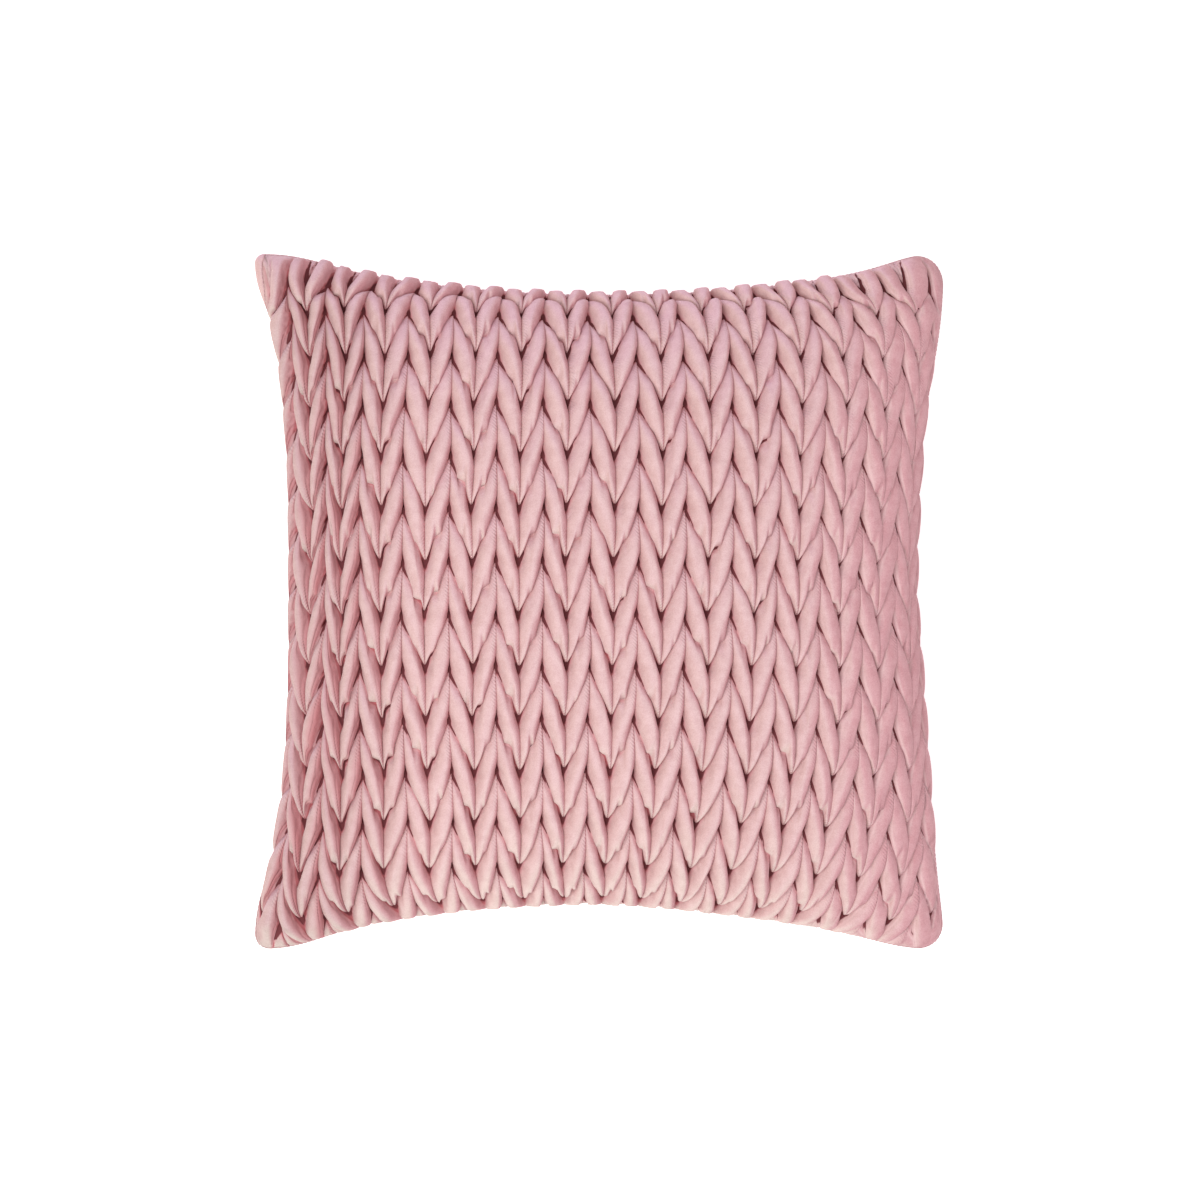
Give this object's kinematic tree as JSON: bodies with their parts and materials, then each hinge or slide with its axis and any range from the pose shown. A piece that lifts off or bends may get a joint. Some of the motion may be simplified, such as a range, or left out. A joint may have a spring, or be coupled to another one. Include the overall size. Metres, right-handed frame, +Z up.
{
  "type": "cushion cover",
  "caption": "Square velvet cushion cover on its pad, its front smocked into slanting puffed folds, with drawn-in sides and a plain back.",
  "frame": {"origin": "on the surface that the cushion lies on, under the middle of its box", "axes": "+Z up out of the smocked front, +Y towards the edge that is the picture's top, +X towards the picture's right"},
  "size_m": [0.4306, 0.435, 0.1471],
  "materials": {
    "smocked_velvet": "dusty pink velvet with a soft pile sheen, darker in the creases",
    "plain_velvet": "dusty pink velvet, plain and stretched"
  },
  "bodies": {
    "root": {"smocked_front": "smocked_velvet", "back_panel": "plain_velvet"}
  },
  "joints": []
}
